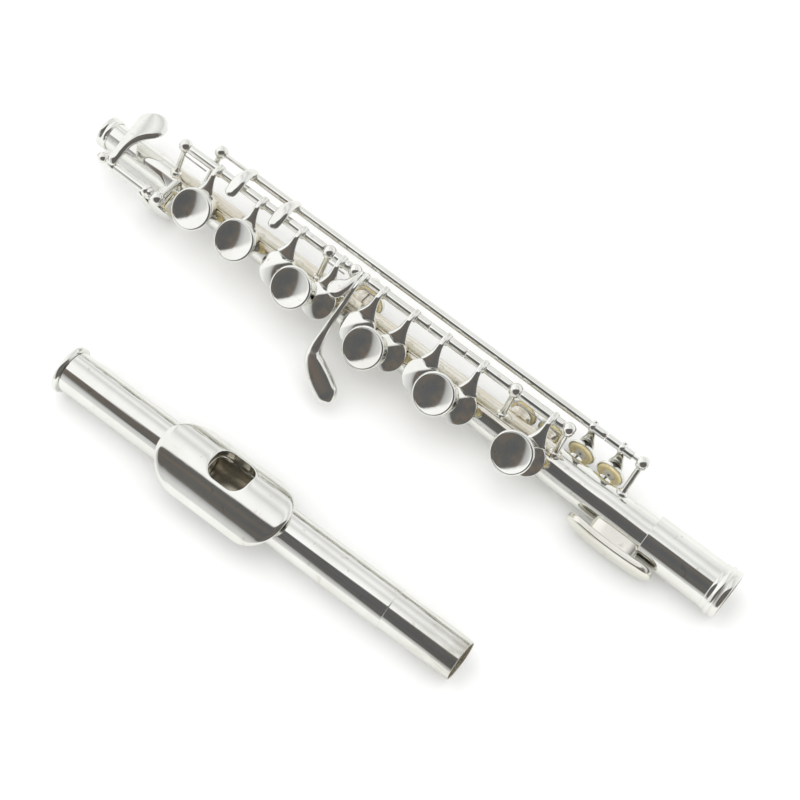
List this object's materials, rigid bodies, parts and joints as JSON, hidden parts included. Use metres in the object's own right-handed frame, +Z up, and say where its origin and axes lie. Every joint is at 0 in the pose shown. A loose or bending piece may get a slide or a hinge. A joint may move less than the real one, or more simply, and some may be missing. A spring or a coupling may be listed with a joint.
{
  "type": "piccolo",
  "caption": "Metal piccolo in two pieces: a keyed tapered body with a socket barrel, and a straight head joint with lip plate lying beside it.",
  "frame": {"origin": "centre of the bounding box, on the table plane under body and head joint", "axes": "+X along the body from the foot to the barrel mouth, -Y toward the head joint lying beside the body, +Z up from the table"},
  "size_m": [0.216, 0.0838, 0.0234],
  "materials": {
    "silver_plate": "polished silver plate",
    "steel": "fine ground",
    "pad_skin": "smooth thin skin",
    "cork": "natural cork"
  },
  "bodies": {
    "body": {"body_tube": "silver_plate", "barrel": "silver_plate", "barrel_ring": "silver_plate", "foot_ring": "silver_plate", "hand_rest": "silver_plate", "posts_main": "silver_plate", "posts_trill": "silver_plate", "posts_e_flat": "silver_plate", "posts_thumb": "silver_plate", "rod_main": "steel", "rod_e_flat": "steel", "rod_thumb": "steel", "springs": "steel"},
    "d_key": {"key_d": "silver_plate", "pad_d": "pad_skin", "dish_d": "silver_plate"},
    "e_key": {"key_e": "silver_plate", "pad_e": "pad_skin", "dish_e": "silver_plate"},
    "f_key": {"key_f": "silver_plate", "pad_f": "pad_skin", "dish_f": "silver_plate"},
    "f_sharp_key": {"key_f_sharp": "silver_plate", "pad_f_sharp": "pad_skin"},
    "g_key": {"key_g": "silver_plate", "pad_g": "pad_skin", "dish_g": "silver_plate"},
    "a_key": {"key_a": "silver_plate", "pad_a": "pad_skin", "dish_a": "silver_plate"},
    "b_flat_key": {"key_b_flat": "silver_plate", "pad_b_flat": "pad_skin"},
    "c_key": {"key_c": "silver_plate", "pad_c": "pad_skin", "dish_c": "silver_plate"},
    "g_sharp_key": {"key_g_sharp": "silver_plate", "pad_g_sharp": "pad_skin"},
    "trill_low_key": {"key_trill_low": "silver_plate", "pad_trill_low": "pad_skin"},
    "trill_high_key": {"key_trill_high": "silver_plate", "pad_trill_high": "pad_skin"},
    "e_flat_key": {"key_e_flat": "silver_plate", "pad_e_flat": "pad_skin"},
    "thumb_b_key": {"key_thumb_b": "silver_plate", "pad_thumb_b": "pad_skin"},
    "thumb_b_flat_key": {"key_thumb_b_flat": "silver_plate", "pad_thumb_b_flat": "pad_skin"},
    "b_flat_lever": {"lever_b_flat": "silver_plate"},
    "head": {"head_tube": "silver_plate", "lip_plate": "silver_plate"},
    "crown": {"crown": "silver_plate"},
    "stopper": {"stopper_cork": "cork", "stopper_screw": "steel"}
  },
  "joints": [
    {"name": "d_key_hinge", "type": "hinge", "parent": "body", "child": "d_key", "pos_m": [-0.0682, 0.03468, 0.0189], "axis": [1, 0, 0], "range_deg": [0, 8], "stiffness_Nm_per_rad": 0.002, "springref_deg": -85.94},
    {"name": "e_key_hinge", "type": "hinge", "parent": "body", "child": "e_key", "pos_m": [-0.0526, 0.03468, 0.0189], "axis": [1, 0, 0], "range_deg": [0, 8], "stiffness_Nm_per_rad": 0.002, "springref_deg": -85.94},
    {"name": "f_key_hinge", "type": "hinge", "parent": "body", "child": "f_key", "pos_m": [-0.0388, 0.03468, 0.0189], "axis": [1, 0, 0], "range_deg": [0, 8], "stiffness_Nm_per_rad": 0.002, "springref_deg": -85.94},
    {"name": "f_sharp_key_hinge", "type": "hinge", "parent": "body", "child": "f_sharp_key", "pos_m": [-0.0242, 0.03468, 0.0189], "axis": [1, 0, 0], "range_deg": [0, 8], "stiffness_Nm_per_rad": 0.002, "springref_deg": -85.94},
    {"name": "g_key_hinge", "type": "hinge", "parent": "body", "child": "g_key", "pos_m": [-0.0106, 0.03468, 0.0189], "axis": [1, 0, 0], "range_deg": [0, 8], "stiffness_Nm_per_rad": 0.002, "springref_deg": -85.94},
    {"name": "a_key_hinge", "type": "hinge", "parent": "body", "child": "a_key", "pos_m": [0.0111, 0.03468, 0.0189], "axis": [1, 0, 0], "range_deg": [0, 8], "stiffness_Nm_per_rad": 0.002, "springref_deg": -85.94},
    {"name": "b_flat_key_hinge", "type": "hinge", "parent": "body", "child": "b_flat_key", "pos_m": [0.0238, 0.03468, 0.0189], "axis": [1, 0, 0], "range_deg": [0, 8], "stiffness_Nm_per_rad": 0.002, "springref_deg": -85.94},
    {"name": "c_key_hinge", "type": "hinge", "parent": "body", "child": "c_key", "pos_m": [0.0464, 0.03468, 0.0189], "axis": [1, 0, 0], "range_deg": [0, 8], "stiffness_Nm_per_rad": 0.002, "springref_deg": -85.94},
    {"name": "g_sharp_key_hinge", "type": "hinge", "parent": "body", "child": "g_sharp_key", "pos_m": [-0.0171, 0.03468, 0.0189], "axis": [1, 0, 0], "range_deg": [0, 8], "stiffness_Nm_per_rad": 0.002, "springref_deg": -85.94},
    {"name": "b_flat_lever_hinge", "type": "hinge", "parent": "body", "child": "b_flat_lever", "pos_m": [-0.0185, 0.03468, 0.0189], "axis": [1, 0, 0], "range_deg": [0, 5], "stiffness_Nm_per_rad": 0.002, "springref_deg": -85.94},
    {"name": "trill_low_key_hinge", "type": "hinge", "parent": "body", "child": "trill_low_key", "pos_m": [0.055, 0.0399, 0.01752], "axis": [1, 0, 0], "range_deg": [-10, 2.5], "stiffness_Nm_per_rad": 0.02},
    {"name": "trill_high_key_hinge", "type": "hinge", "parent": "body", "child": "trill_high_key", "pos_m": [0.0644, 0.0399, 0.01752], "axis": [1, 0, 0], "range_deg": [-10, 2.5], "stiffness_Nm_per_rad": 0.02},
    {"name": "e_flat_key_hinge", "type": "hinge", "parent": "body", "child": "e_flat_key", "pos_m": [-0.088, 0.01911, 0.01358], "axis": [1, 0, 0], "range_deg": [-9, 0], "stiffness_Nm_per_rad": 0.002, "springref_deg": 85.94},
    {"name": "thumb_b_key_hinge", "type": "hinge", "parent": "body", "child": "thumb_b_key", "pos_m": [0.0456, 0.03186, 0.00128], "axis": [1, 0, 0], "range_deg": [0, 5], "stiffness_Nm_per_rad": 0.002, "springref_deg": -85.94},
    {"name": "thumb_b_flat_key_hinge", "type": "hinge", "parent": "body", "child": "thumb_b_flat_key", "pos_m": [0.0364, 0.03186, 0.00128], "axis": [1, 0, 0], "range_deg": [0, 5], "stiffness_Nm_per_rad": 0.002, "springref_deg": -85.94},
    {"name": "head_lift", "type": "slide", "parent": "body", "child": "head", "axis": [0, 0, 1], "range_m": [0, 0.1]},
    {"name": "crown_turn", "type": "hinge", "parent": "head", "child": "crown", "pos_m": [-0.06427, -0.03196, 0.0071], "axis": [0.9995, 0.0314, 0], "range_deg": [-360, 360]},
    {"name": "stopper_slide", "type": "slide", "parent": "head", "child": "stopper", "axis": [0.9995, 0.0314, 0], "range_m": [-0.00075, 0.00075]}
  ],
  "couplings": [
    {"joint": "f_sharp_key_hinge", "follows": "f_key_hinge", "ratio": 1},
    {"joint": "b_flat_key_hinge", "follows": "a_key_hinge", "ratio": 1},
    {"joint": "stopper_slide", "follows": "crown_turn", "m_per_rad": 0.00011937}
  ]
}
